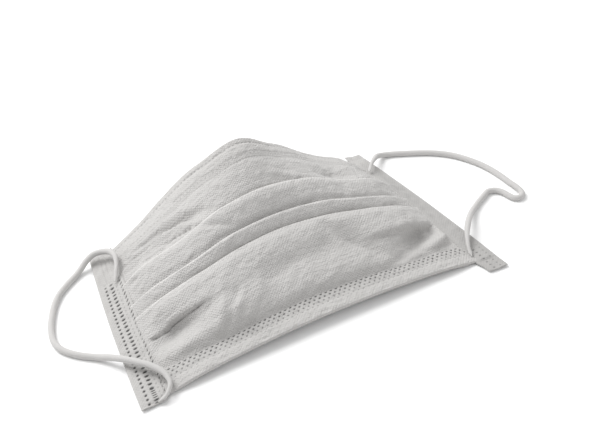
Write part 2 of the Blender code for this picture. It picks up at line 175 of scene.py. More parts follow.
# The broad dents and ridges, as in the frame, but with the lowest panel's right dent lower, a little shallower
# and more slanted
Dent = namedtuple("Dent", "panel across up half_across half_up height lean")
DENTS = [
    Dent("chin_hem_line", -0.74, 0.50, 0.22, 0.30, -0.83, -0.5),
    Dent("chin_hem_line", 0.68, 0.38, 0.26, 0.25, -0.82, 0.9),
    Dent("chin_hem_line", -0.44, 0.42, 0.13, 0.40, 0.52, 0.0),
    Dent("chin_hem_line", 0.28, 0.55, 0.16, 0.36, -0.48, -0.9),
    Dent("upper_pleat", -0.66, 0.45, 0.20, 0.40, -0.35, 0.0),
    Dent("upper_pleat", 0.50, 0.35, 0.16, 0.40, -0.39, 0.0),
]

# Wrinkles. route is a list of places (across, up) on a panel. below and above are how far the cloth stands
# out on the two sides of the route, and below_width and above_width how far that reaches, all in
# millimetres. Where the two heights differ, the route is a step or a tuck, and blur is the width of the
# change.
Wrinkle = namedtuple("Wrinkle", "panel route below above below_width above_width blur")
WRINKLES = [
    # The second edge of the upper pleat at the left, with its recess above
    Wrinkle("upper_pleat", [(-1.1, 0.50), (-0.73, 0.56), (-0.56, 0.63), (-0.46, 0.46), (-0.36, 0.05)],
            1.2, -2.3, 3.0, 3.0, 0.2),
    Wrinkle("upper_pleat", [(-0.82, 0.98), (-0.60, 0.88), (-0.46, 0.66), (-0.28, 0.15)],
            -1.6, -1.4, 2.5, 2.2, 1.0),
    Wrinkle("upper_pleat", [(-0.62, 0.32), (-0.54, 0.27), (-0.42, 0.10)], -1.8, -0.8, 0.8, 0.9, 0.2),
    Wrinkle("upper_pleat", [(-0.76, 0.20), (-0.59, 0.20)], -1.0, -1.0, 0.9, 0.9, 0.5),
    # The hollow and the small ridge above the upper pleat at the right
    Wrinkle("upper_pleat", [(0.34, 0.42), (0.55, 0.50), (0.76, 0.30)], -0.7, -0.3, 2.4, 3.0, 1.0),
    Wrinkle("upper_pleat", [(0.06, 0.50), (0.17, 0.26), (0.28, 0.08)], 0.7, 0.7, 1.6, 2.2, 0.5),
    # Between the upper and middle pleats
    Wrinkle("middle_pleat", [(-0.40, 0.95), (-0.20, 0.10)], -0.9, -0.4, 1.5, 2.0, 0.6),
    Wrinkle("middle_pleat", [(-0.92, 0.94), (-0.77, 0.76)], -0.8, -0.8, 0.9, 0.9, 0.5),
    # The tuck at the left of the lowest panel, over a hollow at the band
    Wrinkle("chin_hem_line",
            [(-1.10, 0.48), (-0.88, 0.53), (-0.80, 0.565), (-0.73, 0.60), (-0.64, 0.595), (-0.48, 0.60)],
            -1.5, 1.0, 0.8, 2.6, 0.2),
    Wrinkle("chin_hem_line", [(-1.15, 0.32), (-0.86, 0.40), (-0.72, 0.47), (-0.55, 0.50), (-0.30, 0.56)],
            -1.2, -1.3, 3.0, 3.2, 1.5),
    Wrinkle("chin_hem_line", [(-1.00, 0.10), (-0.75, 0.15), (-0.50, 0.23), (-0.22, 0.40)],
            0.9, 0.9, 3.5, 2.6, 1.0),
    Wrinkle("chin_hem_line", [(-0.54, 0.02), (-0.50, 0.18), (-0.42, 0.66)], 0.7, 0.6, 2.0, 2.2, 0.8),
    Wrinkle("chin_hem_line", [(-0.50, 0.04), (-0.43, 0.28), (-0.34, 0.56)], -0.9, -0.7, 1.6, 3.0, 1.0),
    Wrinkle("chin_hem_line", [(-0.40, 0.02), (-0.20, 0.50)], 0.5, 0.5, 2.6, 2.6, 1.0),
    # The middle
    Wrinkle("chin_hem_line", [(-0.26, 0.50), (0.02, 0.54), (0.26, 0.56)], -2.0, -1.3, 6.0, 5.0, 4.0),
    Wrinkle("chin_hem_line", [(0.16, 1.05), (0.27, 0.63), (0.36, 0.36), (0.46, 0.10)],
            -0.5, -1.6, 2.5, 5.0, 1.2),
    # The pocket at the right: its upper edge, the hollow below, its bright side and the hollow over the hem
    Wrinkle("chin_hem_line", [(0.36, 0.52), (0.56, 0.53), (0.72, 0.55), (0.88, 0.57), (1.10, 0.59)],
            -1.0, 1.5, 4.0, 5.5, 0.7),
    Wrinkle("chin_hem_line", [(0.42, -0.06), (0.54, 0.07), (0.66, 0.20), (0.78, 0.34), (0.98, 0.64)],
            -0.6, -2.1, 1.6, 4.2, 1.2),
    Wrinkle("chin_hem_line", [(1.00, 0.66), (0.91, 0.46), (0.82, 0.27), (0.66, 0.02)],
            1.6, 2.2, 2.6, 3.0, 0.8),
    Wrinkle("chin_hem_line", [(0.60, 0.05), (0.80, 0.08), (1.06, 0.11)], -1.0, -0.9, 1.6, 2.2, 0.8),
]
WRINKLE_TAPER = 0.20  # share of a wrinkle's length in which an end fades


def blend(a, b, t):
    return a + (b - a) * t


def smooth(t):
    t = np.clip(t, 0, 1)
    return t * t * (3 - 2 * t)


def bell(x, width):
    """1 where x is 0, falling off to both sides over a width."""
    return np.exp(-((x / width) ** 2))


def unit(vectors):
    return vectors / np.maximum(np.linalg.norm(vectors, axis=-1, keepdims=True), 1e-12)


def curve_through(knots, values, x):
    """A smooth curve through the values that never overshoots them, level at its first and last knot."""
    knots, values = np.asarray(knots, float), np.asarray(values, float)
    x = np.clip(x, knots[0], knots[-1])
    steps = np.diff(values) / np.diff(knots)
    slopes = np.zeros(len(knots))
    for i, (before, after) in enumerate(zip(steps, steps[1:])):
        slopes[i + 1] = 0 if before * after <= 0 else 2 * before * after / (before + after)
    i = np.clip(np.searchsorted(knots, x, side="right") - 1, 0, len(steps) - 1)
    width = knots[i + 1] - knots[i]
    t = (x - knots[i]) / width
    return (
        values[i] * (1 + 2 * t) * (1 - t) ** 2
        + values[i + 1] * t * t * (3 - 2 * t)
        + width * (slopes[i] * t * (1 - t) ** 2 - slopes[i + 1] * t * t * (1 - t))
    )


def side_edge(place):
    """(x, y) of the right band's outer edge at a share of its length from the chin end."""
    reach_y = math.sqrt(BAND_LENGTH**2 - (HALF_BOTTOM - HALF_TOP) ** 2)
    inside = np.clip(place, 0, 1)
    bow = BAND_BOW * 4 * inside * (1 - inside)
    return blend(HALF_BOTTOM, HALF_TOP, place) + bow, reach_y * (place - 0.5)


# The frame was centred on its own box, so its shift is read from two of its corners.
left_tail_x = side_edge(-TAIL_CHIN_LEFT / BAND_LENGTH)[0]
right_tail_y = side_edge(-TAIL_CHIN_RIGHT / BAND_LENGTH)[1]
SHIFT = np.array(
    [
        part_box("side_band_left")[0].x + left_tail_x,
        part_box("side_band_right")[0].y - right_tail_y,
        0.0,
    ]
)


def line_point(row, across, place=None):
    """Points of a line across the cloth, from -1 at the left band's outer edge to 1 at the right one's."""
    place = row.place if place is None else place
    half, y = side_edge(place)
    out = np.abs(across)
    back = curve_through([-0.5, 0, 0.5, 1], [row.back_half, row.back_middle, row.back_half, 0], out)
    rises = [row.rise_25, row.rise_0, row.rise_25, row.rise_50, row.rise_75, 0.0, 0.0]
    rise = curve_through([-0.25, 0, 0.25, 0.5, 0.75, AT_SLOT, 1], rises, out)
    settle = blend(-SWELL, SINK, smooth((out - SETTLE_FROM) / (AT_MOUTH - SETTLE_FROM)))
    uneven = sum(lean.height * bell(across - lean.across, lean.half_across) for lean in LEANS)
    uneven = uneven * smooth((place - LEAN_FROM) / (1 - LEAN_FROM)) * smooth((AT_MOUTH - out) / LEAN_FADE)
    z = REST + NOSE_RISE * rise + uneven - settle
    return np.stack(np.broadcast_arrays(half * across, y + BAND_LENGTH * back, z), -1) + SHIFT


def cloth_point(across, place):
    """The cloth's middle layer with its pleats ironed out, for arrays of places."""
    across, place = np.broadcast_arrays(np.asarray(across, float), np.asarray(place, float))
    k = np.clip(np.searchsorted([row.place for row in ROWS], place, side="right") - 1, 0, len(ROWS) - 2)
    points = np.zeros(across.shape + (3,))
    for i in range(len(ROWS) - 1):
        here = (k == i) & (place >= 0) & (place <= 1)
        t = ((place - ROWS[i].place) / (ROWS[i + 1].place - ROWS[i].place))[here][:, None]
        points[here] = blend(line_point(ROWS[i], across[here]), line_point(ROWS[i + 1], across[here]), t)
    for row, outside in ((ROWS[0], place < 0), (ROWS[-1], place > 1)):
        points[outside] = line_point(row, across[outside], place[outside])
    return points


def cloth_normal(across, place):
    step = 0.004
    out, up = np.clip(across, step - 1, 1 - step), np.clip(place, step, 1 - step)
    sideways = cloth_point(out + step, up) - cloth_point(out - step, up)
    upwards = cloth_point(across, up + step) - cloth_point(across, up - step)
    return unit(np.cross(sideways, upwards))


def free(across, over=LAYERS_OVER):
    """0 where a side band presses the cloth's layers together, rising to 1 further inside."""
    return smooth((LOOSE_FROM - np.abs(across)) / over)


def inside_edges(up, steepness):
    """0 at a panel's lower and upper edges, rising to 1 over 1 / steepness of its height."""
    return smooth(steepness * up) * smooth(steepness * (1 - up))


def ripples(kind, x, y, panel=""):
    """The heights of fine random ripples, in metres. The length of a panel's name shifts their seed."""
    draw = np.random.RandomState(kind.seed + len(panel))
    longest, shortest = kind.longest * MM, kind.shortest * MM
    field = np.zeros(np.broadcast(x, y).shape)
    for _ in range(kind.count):
        length = longest * (shortest / longest) ** draw.rand()
        angle, phase = draw.rand() * 2 * math.pi, draw.rand() * 2 * math.pi
        turn = 2 * math.pi / length
        field += np.sin(turn * (x * math.cos(angle) / kind.stretch + y * math.sin(angle)) + phase)
    return kind.height * MM * field / math.sqrt(kind.count / 2)


def wrinkle_height(wrinkle, x, y, height_at):
    """How far a wrinkle stands out at the places x, y of its panel, in metres."""
    route = [(HALF_BOTTOM * a, u * height_at(a)) for a, u in wrinkle.route]
    lengths = [math.dist(a, b) for a, b in zip(route, route[1:])]
    nearest = np.full(x.shape, 1.0)
    signed, run = np.zeros(x.shape), np.zeros(x.shape)
    done = 0.0
    for (ax, ay), (bx, by), length in zip(route, route[1:], lengths):
        dx, dy = (bx - ax) / length, (by - ay) / length
        along = np.clip((x - ax) * dx + (y - ay) * dy, 0, length)
        away = np.hypot(x - ax - along * dx, y - ay - along * dy)
        side = np.sign((y - ay) * dx - (x - ax) * dy)
        closer = away < nearest
        nearest = np.where(closer, away, nearest)
        signed = np.where(closer, away * side, signed)
        run = np.where(closer, done + along, run)
        done += length
    taper = WRINKLE_TAPER * done
    fade = smooth(run / taper) * smooth((done - run) / taper)
    low = wrinkle.below * bell(signed, wrinkle.below_width * MM)
    high = wrinkle.above * bell(signed, wrinkle.above_width * MM)
    share = 1 / (1 + np.exp(-np.clip(2 * signed / (wrinkle.blur * MM), -40, 40)))
    return MM * fade * blend(low, high, share)


def relief(panel, across, up, height):
    """How far a panel stands out, for rows of shares up the panel and columns of places across it."""
    a, u = np.meshgrid(across, up)
    out = CROWN * CROWNS.get(panel, 0.0) * (1 - a * a) * np.ones_like(u)
    for dent in DENTS:
        if dent.panel == panel:
            centre = dent.up + dent.lean * (a - dent.across)
            x, y = (a - dent.across) / dent.half_across, (u - centre) / dent.half_up
            out += dent.height * DENT_DEPTH * np.exp(-2 * (x * x + y * y))
    out *= (1 - (2 * u - 1) ** 4) * free(a, DENTS_OVER)
    x, y = HALF_BOTTOM * a, u * height
    puff = PUFFS.get(panel)
    if puff:
        rise = smooth(y / (puff.from_below * MM)) * smooth((height - y) / (puff.from_above * MM))
        out += puff.height * MM * rise * free(a, PUFFS_OVER)
    edges = inside_edges(u, WRINKLES_RISE)
    for wrinkle in WRINKLES:
        if wrinkle.panel == panel:
            out += edges * wrinkle_height(wrinkle, x, y, lambda at: np.interp(at, across, height))
    out += edges * ripples(CLOTH_WAVES, x, y, panel)
    out += inside_edges(u, CREPE_RISE) * ripples(CLOTH_CREPE, x, y, panel)
    return out * free(a, RELIEF_OVER)


def spaced(length, cell):
    """Shares from 0 to 1 that cut a length into cells."""
    return np.linspace(0, 1, max(2, round(length / cell) + 1))


def pleat_steps(depth, ahead, layer):
    """(ahead, down) of a pleat's points: a turn, a hidden run back, a turn the other way and a run ahead."""
    radius = layer / 2
    turn = np.linspace(0, math.pi, TURN_POINTS)
    steps = [(radius * math.sin(a), radius * (1 - math.cos(a))) for a in turn]
    steps += [(-depth * t, layer) for t in (0.25, 0.5, 0.75)]
    steps += [(-depth - radius * math.sin(a), layer + radius * (1 - math.cos(a))) for a in turn]
    steps += [(-depth * (1 - t) + ahead * layer * t, 2 * layer) for t in (0.25, 0.5, 0.75, 1.0)]
    return steps


def cloth_grid(across):
    """The cloth's middle layer from the chin edge to the nose edge, and the painted shade and highlight at
    each point.
    """
    loose = free(across)[:, None]
    layer = blend(LAYER_PRESSED, LAYER, loose)
    start = cloth_point(across, CLOTH_START / BAND_LENGTH)
    rows = [start]
    painted_shading = [np.zeros_like(across)]
    for below, above, beyond in zip(ROWS, ROWS[1:], ROWS[2:] + ROWS[-1:]):
        end = line_point(above, across)
        if above.name == "nose_edge":
            end = cloth_point(across, 1 - CLOTH_END / BAND_LENGTH)
        sideways = line_point(above, across + 0.01) - line_point(above, across - 0.01)
        upwards = unit(end - start)
        normal = unit(np.cross(sideways, upwards))
        if above.name in PLEATS:
            end = end + normal * layer * (1 - loose)
        height = np.linalg.norm(end - start, axis=-1)
        hidden = below.name == "chin_edge" or above.name == "nose_edge"
        up = spaced(height.mean(), 4 * CELL if hidden else CELL)
        if hidden:
            heights = -UNDER_HEM * np.sin(math.pi * up)[:, None] * loose[:, 0]
        else:
            heights = relief(below.name, across, up, height)
        for t, stand in zip(up[1:], heights[1:]):
            rows.append(blend(start, end, t) + normal * stand[:, None])
            # painted shade: the deeper a hollow, the darker it is painted
            painted_shading.append(np.zeros_like(across) if hidden else smooth(-stand / DEEP))
            if above.name in PLEATS:
                # painted highlight along a pleat's folded edge
                painted_shading[-1] = painted_shading[-1] - FOLD_SHINE * bell((1 - t) * height, FOLD_REACH)
        start = end
        if above.name in PLEATS:
            pleat = PLEATS[above.name]
            onwards = unit(line_point(beyond, across) - end)
            steps = np.array([pleat_steps(pleat.depth * PLEAT_DEPTH, pleat.ahead, w) for w in layer[:, 0]])
            for k in range(1, steps.shape[1]):
                ahead, down = steps[:, k, 0][:, None], steps[:, k, 1][:, None]
                along = np.where(ahead > 0, onwards, upwards)
                rows.append(end + along * ahead - normal * down)
                # painted highlight round the fold
                painted_shading.append(np.full_like(across, -FOLD_SHINE if k < FOLD_ROWS else 0.0))
            start = rows[-1]
    return np.array(rows), np.array(painted_shading)


def grid_normals(points):
    upwards = np.gradient(points, axis=0)
    sideways = np.gradient(points, axis=1)
    return unit(np.cross(sideways, upwards))


def lengths_along(points, axis):
    """Distance along the rows or columns of a grid, from its first point."""
    steps = np.linalg.norm(np.diff(points, axis=axis), axis=-1)
    return np.concatenate([np.zeros_like(np.take(steps, [0], axis)), np.cumsum(steps, axis)], axis)


def closed_mesh(name, points, faces, run):
    """A smooth mesh with sharp edges, mapped by run: the distances across and along it, for each point."""
    mesh = bpy.data.meshes.new(name)
    mesh.from_pydata(points.tolist(), [], faces)
    mesh.shade_smooth()
    mesh.set_sharp_from_angle(angle=SHARP)
    loops = np.zeros(len(mesh.loops), np.int32)
    mesh.loops.foreach_get("vertex_index", loops)
    mesh.uv_layers.new(name="UVMap").data.foreach_set("uv", run[loops].astype(np.float32).ravel())
    return mesh


def add_piece(name, mesh, finish):
    """The object of a mesh, which rides on the mask's only body."""
    mesh.materials.append(finish)
    made = bpy.data.objects.new(name, mesh)
    bpy.context.scene.collection.objects.link(made)
    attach(made, "root")
    return made


def thick_sheet(name, points, thickness, finish, weld=None):
    """A closed sheet about a grid of points, its outer side along the grid's normals.

    The last argument: how dark and smooth each outer point is, 1 for a melted dot; it also holds painted shade
    and highlight.
    """
    rows, columns = points.shape[:2]
    half = np.broadcast_to(np.asarray(thickness, float), (rows, columns))[..., None] / 2
    normals = grid_normals(points)
    outside = (points + normals * half).reshape(-1, 3)
    inside = (points - normals * half).reshape(-1, 3)
    number = np.arange(rows * columns).reshape(rows, columns)
    a, b, c, d = number[:-1, :-1], number[:-1, 1:], number[1:, 1:], number[1:, :-1]
    outer = np.stack([a, b, c, d], -1).reshape(-1, 4)
    inner = outer[:, ::-1] + rows * columns
    rim = np.concatenate([number[0, :], number[1:, -1], number[-1, -2::-1], number[-2:0:-1, 0]])
    ahead = np.roll(rim, -1)
    sides = np.stack([rim, rim + rows * columns, ahead + rows * columns, ahead], -1)
    faces = np.concatenate([outer, inner, sides])
    run_across = np.broadcast_to(lengths_along(points, 1).mean(0), (rows, columns))
    run_up = np.broadcast_to(lengths_along(points, 0).mean(1)[:, None], (rows, columns))
    run = np.stack([run_across, run_up], -1).reshape(-1, 2)
    mesh = closed_mesh(name, np.concatenate([outside, inside]), faces.tolist(), np.concatenate([run, run]))
    marks = np.zeros(2 * rows * columns, np.float32)
    if weld is not None:
        marks[: rows * columns] = weld.ravel()
    mesh.attributes.new("weld", "FLOAT", "POINT").data.foreach_set("value", marks)
    return add_piece(name, mesh, finish)


def folded_depths(width, lift, cell):
    """(depth in from the folded edge, side) round a folded strip: under, round the fold and back over."""
    flat = np.linspace(width, lift, max(2, round((width - lift) / cell) + 1))
    turn = np.linspace(0, math.pi, FOLD_POINTS)[1:-1]
    under = [(depth, -1.0) for depth in flat]
    round_fold = [(lift - lift * math.sin(a), -math.cos(a)) for a in turn]
    return under + round_fold + [(depth, 1.0) for depth in flat[::-1]]


DOT_EDGE = 0.7  # how far out a dot starts to fade, as a share of its half size
DOT_FADE = 0.6


def dots(row, run, depth):
    """How dark a row of dots makes each point of a strip: strength at a dot's middle, 0 past its size."""
    along = (run / (row.pitch * MM) + row.stagger) % 1.0 - 0.5
    distance = np.hypot(along * row.pitch / (row.along / 2), (depth / MM - row.at) / (row.across / 2))
    return row.strength * (1 - smooth((distance - DOT_EDGE) / DOT_FADE))


def pressed_lift(lift, depth, width):
    """A folded strip's lift, which falls off towards its inner edge until that is melted into the cloth."""
    down = blend(lift, PRESSED_LIFT, smooth((depth - (width - PRESS_FROM)) / PRESS_OVER))
    return blend(down, TUCKED_LIFT, smooth((depth - (width - TUCK_OVER)) / TUCK_OVER))


def edge_fade(depth, width):
    """1 over most of a folded strip, falling to 0 near its inner edge."""
    return smooth((width - EDGE_PLAIN - depth) / EDGE_FADE)


# Materials: the bond points' pitch, the noises' scales, and how much each of them changes the tone
BOND_PITCH = 1.5 * MM
PATCH_SCALE = 120.0
CREPE_SCALE = 620.0
CREPE_STRETCH = (0.45, 1.0, 1.0)
FIBRE_SCALE = 2600.0
CLOTH_TONE = 0.93
POINT_TONE = 0.06
PATCH_TONE = 0.10
FIBRE_TONE = 0.08
WELD_TONE = 0.88
CLOTH_ROUGHNESS = 0.92
CLOTH_SHEEN = 0.12
WELD_GLOSS = 0.35
CLOTH_BUMP = 0.30 * MM
PATCH_LEAST = 0.2  # the least emboss in a patch, and how much more it may have
PATCH_MORE = 1.6
FIBRE_BUMP = 0.10
KNIT_ROW = 0.75 * MM
KNIT_RIBS = 14
KNIT_BUMP = 0.15 * MM
KNIT_STRENGTH = 0.35
KNIT_TONE = 0.92
KNIT_SHADE = 0.06
KNIT_ROUGHNESS = 0.85
KNIT_SHEEN = 0.15
FLUFF_SCALE = 1800.0
FLUFF_BUMP = 0.8
SPECULAR = 0.25


def add_node(tree, kind, settings=None, **inputs):
    """A shader node. Inputs are values or sockets, by name with _ for a space, or by number as in_0."""
    made = tree.nodes.new(kind)
    for key, value in (settings or {}).items():
        setattr(made, key, value)
    for key, value in inputs.items():
        socket = made.inputs[int(key[3:])] if key.startswith("in_") else made.inputs[key.replace("_", " ")]
        if isinstance(value, bpy.types.NodeSocket):
            tree.links.new(value, socket)
        else:
            socket.default_value = value
    return made


def maths(tree, operation, first, second=0.0):
    return add_node(tree, "ShaderNodeMath", {"operation": operation}, in_0=first, in_1=second).outputs[0]


def new_material(name):
    made = bpy.data.materials.new(name)
    made.use_nodes = True
    return made, made.node_tree, made.node_tree.nodes["Principled BSDF"]


def places_on(tree):
    """The mapping's socket, and the distances across and along the piece that it holds."""
    run = add_node(tree, "ShaderNodeUVMap", {"uv_map": "UVMap"}).outputs[0]
    return run, *add_node(tree, "ShaderNodeSeparateXYZ", in_0=run).outputs[:2]


def change(tree, value, pattern, amount):
    """A value that a pattern of 0 to 1 moves up and down by half of an amount."""
    return maths(tree, "ADD", value, maths(tree, "MULTIPLY", maths(tree, "SUBTRACT", pattern, 0.5), amount))


def scaled(tree, value, factor, start):
    """start + value * factor."""
    made = maths(tree, "MULTIPLY_ADD", value, factor)
    made.node.inputs[2].default_value = start
    return made


def paint(tree, shader, colour, shade):
    """Give the shader a colour, darkened by a shade."""
    tint = add_node(tree, "ShaderNodeCombineColor", Red=shade, Green=shade, Blue=shade).outputs[0]
    mix = add_node(tree, "ShaderNodeMix", {"data_type": "RGBA", "blend_type": "MULTIPLY"})
    mix.inputs[0].default_value = 1.0
    mix.inputs[6].default_value = (*colour, 1)
    tree.links.new(tint, mix.inputs[7])
    tree.links.new(mix.outputs[2], shader.inputs["Base Color"])


def non_woven(name, colour, emboss, crepe):
    """Spun fibre cloth: a point-bond pattern, fine crepe wrinkles and fibres, darker melted dots, and painted
    shade and highlight.
    """
    made, tree, shader = new_material(name)
    run, across, along = places_on(tree)
    turn = math.pi / BOND_PITCH
    left = maths(tree, "SINE", maths(tree, "MULTIPLY", maths(tree, "ADD", across, along), turn))
    right = maths(tree, "SINE", maths(tree, "MULTIPLY", maths(tree, "SUBTRACT", across, along), turn))
    points = maths(tree, "MULTIPLY", maths(tree, "ABSOLUTE", left), maths(tree, "ABSOLUTE", right))
    patches = add_node(tree, "ShaderNodeTexNoise", Vector=run, Scale=PATCH_SCALE, Detail=2.0).outputs[0]
    stretched = add_node(tree, "ShaderNodeMapping", Vector=run, Scale=CREPE_STRETCH).outputs[0]
    folds = add_node(
        tree, "ShaderNodeTexNoise", Vector=stretched, Scale=CREPE_SCALE, Detail=3.0, Roughness=0.6
    ).outputs[0]
    fibres = add_node(tree, "ShaderNodeTexNoise", Vector=run, Scale=FIBRE_SCALE, Detail=2.0).outputs[0]
    # the mesh's attribute holds melted dots, and also painted shade and, below 0, a painted highlight
    weld = add_node(tree, "ShaderNodeAttribute", {"attribute_name": "weld"}).outputs["Fac"]
    shade = change(tree, scaled(tree, points, POINT_TONE, CLOTH_TONE), patches, PATCH_TONE)
    shade = change(tree, shade, fibres, FIBRE_TONE)
    darker = maths(tree, "SUBTRACT", 1.0, maths(tree, "MULTIPLY", weld, WELD_TONE))
    paint(tree, shader, colour, maths(tree, "MULTIPLY", shade, darker))
    patchy = scaled(tree, patches, PATCH_MORE, PATCH_LEAST)
    height = maths(tree, "MULTIPLY", maths(tree, "MULTIPLY", points, emboss), patchy)
    height = maths(tree, "ADD", height, maths(tree, "MULTIPLY", folds, crepe))
    height = maths(tree, "ADD", height, maths(tree, "MULTIPLY", fibres, FIBRE_BUMP))
    bump = add_node(tree, "ShaderNodeBump", Strength=1.0, Distance=CLOTH_BUMP, Height=height)
    tree.links.new(bump.outputs[0], shader.inputs["Normal"])
    rough = maths(tree, "SUBTRACT", CLOTH_ROUGHNESS, maths(tree, "MULTIPLY", weld, WELD_GLOSS))
    tree.links.new(rough, shader.inputs["Roughness"])
    shader.inputs["Sheen Weight"].default_value = CLOTH_SHEEN
    shader.inputs["Sheen Roughness"].default_value = 0.5
    shader.inputs["Specular IOR Level"].default_value = SPECULAR
    return made


def knitted(name, colour):
    """Round elastic: fine ribs along the cord with a soft knit."""
    made, tree, shader = new_material(name)
    run, around, along = places_on(tree)
    rows = maths(tree, "SINE", maths(tree, "MULTIPLY", along, 2 * math.pi / KNIT_ROW))
    ribs = maths(tree, "SINE", maths(tree, "MULTIPLY", around, 2 * KNIT_RIBS / LOOP_DIAMETER))
    stitches = maths(tree, "MULTIPLY", maths(tree, "ABSOLUTE", rows), maths(tree, "ABSOLUTE", ribs))
    fluff = add_node(tree, "ShaderNodeTexNoise", Vector=run, Scale=FLUFF_SCALE, Detail=3.0).outputs[0]
    height = maths(tree, "ADD", stitches, maths(tree, "MULTIPLY", fluff, FLUFF_BUMP))
    bump = add_node(tree, "ShaderNodeBump", Strength=KNIT_STRENGTH, Distance=KNIT_BUMP, Height=height)
    tree.links.new(bump.outputs[0], shader.inputs["Normal"])
    paint(tree, shader, colour, scaled(tree, height, KNIT_SHADE, KNIT_TONE))
    shader.inputs["Roughness"].default_value = KNIT_ROUGHNESS
    shader.inputs["Sheen Weight"].default_value = KNIT_SHEEN
    shader.inputs["Specular IOR Level"].default_value = SPECULAR
    return made


cloth_finish = non_woven("non_woven_cloth", (0.525, 0.515, 0.504), emboss=0.5, crepe=2.7)
hem_finish = non_woven("non_woven_hem", (0.510, 0.500, 0.489), emboss=0.45, crepe=2.5)
tape_finish = non_woven("non_woven_tape", (0.490, 0.481, 0.470), emboss=0.35, crepe=0.8)
elastic_finish = knitted("knitted_elastic", (0.56, 0.55, 0.54))


# Camera, as the photograph was taken: its angles in degrees, its target on the table and its distance
CAMERA_AZIMUTH = -26.975
CAMERA_ELEVATION = 40.086
CAMERA_ROLL = -2.784
CAMERA_TARGET = (0.019376, 0.022813, 0.0)
CAMERA_DISTANCE = 0.47724
FOCAL_PIXELS = 1000.0
PICTURE_WIDTH = 590.0
SENSOR_WIDTH = 36.0
NEAREST = 0.01


def add_camera():
    azimuth, elevation = math.radians(CAMERA_AZIMUTH), math.radians(CAMERA_ELEVATION)
    back = Vector(
        (
            math.sin(azimuth) * math.cos(elevation),
            -math.cos(azimuth) * math.cos(elevation),
            math.sin(elevation),
        )
    )
    level = Vector((0, 0, 1)).cross(back).normalized()
    upright = back.cross(level)
    roll = math.radians(CAMERA_ROLL)
    right = level * math.cos(roll) + upright * math.sin(roll)
    up = upright * math.cos(roll) - level * math.sin(roll)
    lens = bpy.data.cameras.new("camera")
    lens.sensor_fit = "HORIZONTAL"
    lens.sensor_width = SENSOR_WIDTH
    lens.lens = FOCAL_PIXELS / PICTURE_WIDTH * SENSOR_WIDTH
    lens.clip_start = NEAREST
    camera = bpy.data.objects.new("camera", lens)
    camera.matrix_world = Matrix.Translation(
        Vector(CAMERA_TARGET) + Vector(SHIFT) + back * CAMERA_DISTANCE
    ) @ Matrix((right, up, back)).transposed().to_4x4()
    bpy.context.scene.collection.objects.link(camera)
    bpy.context.scene.camera = camera


add_camera()

# Ear loops: the frame's routes, in millimetres before the frame is centred. The right one's fold is a little
# rounder here, as soft elastic keeps it.
LOOP_ROUTES = {
    "ear_loop_left": [
        (-71.5, 22.5, 8.3), (-69.3, 26.5, 8.4), (-67.2, 30.8, 8.4), (-66.1, 35.2, 8.7), (-66.9, 39.6, 7.9),
        (-69.7, 43.0, 6.5), (-73.7, 44.3, 5.5), (-77.7, 43.3, 4.1), (-81.4, 41.4, 2.2), (-85.2, 39.0, 1.45),
        (-89.6, 36.0, 1.4), (-94.3, 32.1, 1.4), (-98.3, 27.1, 1.4), (-101.7, 20.7, 1.4),
        (-104.6, 13.4, 1.4), (-106.0, 6.3, 1.4), (-105.2, 0.4, 1.4), (-102.3, -4.4, 1.4),
        (-98.2, -8.6, 1.4), (-93.4, -12.6, 1.7), (-89.2, -17.0, 3.3), (-84.8, -22.4, 4.9),
        (-80.2, -27.9, 5.6), (-76.0, -33.1, 5.7), (-73.4, -38.4, 5.7), (-73.3, -43.2, 5.5),
        (-76.2, -46.7, 5.2), (-80.6, -47.7, 4.9),
    ],
    "ear_loop_right": [
        (66.0, 31.0, 9.1), (69.6, 35.0, 7.6), (73.4, 38.8, 6.0), (77.4, 42.1, 4.2), (81.6, 43.7, 2.1),
        (86.4, 42.8, 1.4), (91.8, 40.2, 1.4), (99.6, 36.1, 1.4), (107.0, 31.2, 1.4), (112.8, 25.4, 1.4),
        (117.4, 18.0, 1.4), (120.7, 10.1, 1.4), (122.6, 1.2, 1.4), (123.3, -7.2, 1.4), (123.8, -11.6, 1.4),
        (123.7, -15.4, 1.4), (122.4, -18.2, 1.4), (119.9, -19.2, 1.4), (117.5, -18.0, 1.4),
        (116.5, -15.2, 1.4), (115.6, -11.6, 1.4), (113.4, -8.7, 1.4), (109.8, -7.7, 1.4),
        (105.2, -9.8, 1.4), (99.6, -12.8, 1.4), (93.4, -17.0, 2.3), (86.4, -23.6, 4.7), (80.4, -30.6, 5.7),
        (76.4, -37.0, 5.7), (74.6, -42.4, 5.5),
    ],
}
LOOP_SIDES = 24
LOOP_STEP = 0.45 * MM
WELD_END = 8.0 * MM  # how far from its end a loop is pressed flat
LOOP_SEAT = 1.6 * MM  # how far a loop comes down at its ends, onto the thin tape
WELD_DIP = 1.3 * MM  # how far its pressed end dips into the tape
FLATTENED = 0.5  # the share of its height that welding takes off
DRAWN = 0.40  # the share of its thickness that it loses towards the welded end
DRAWN_FROM = 4 * MM
BLUNT_END = 0.3  # how thick its very end is
BLUNT_OVER = 2 * MM
TWIST = 0.012  # how far the knit's slight twist stands out, as a share of the radius
TWIST_PITCH = 1.1 * MM


def smooth_route(corners, step):
    """Points a step apart on a smooth curve through the corners, and its length."""
    corners = np.array(corners, float)
    ends = np.concatenate([[2 * corners[0] - corners[1]], corners, [2 * corners[-1] - corners[-2]]])
    t = (np.arange(16) / 16)[:, None]
    fine = []
    for before, start, end, after in zip(ends, ends[1:], ends[2:], ends[3:]):
        out, back = (end - before) / 2, (after - start) / 2
        fine.append(
            start * (1 + 2 * t) * (1 - t) ** 2
            + end * t * t * (3 - 2 * t)
            + out * t * (1 - t) ** 2
            - back * t * t * (1 - t)
        )
    fine = np.concatenate(fine + [corners[-1:]])
    run = np.concatenate([[0], np.cumsum(np.linalg.norm(np.diff(fine, axis=0), axis=1))])
    wanted = np.linspace(0, run[-1], round(run[-1] / step) + 1)
    return np.stack([np.interp(wanted, run, fine[:, k]) for k in range(3)], -1), run[-1]


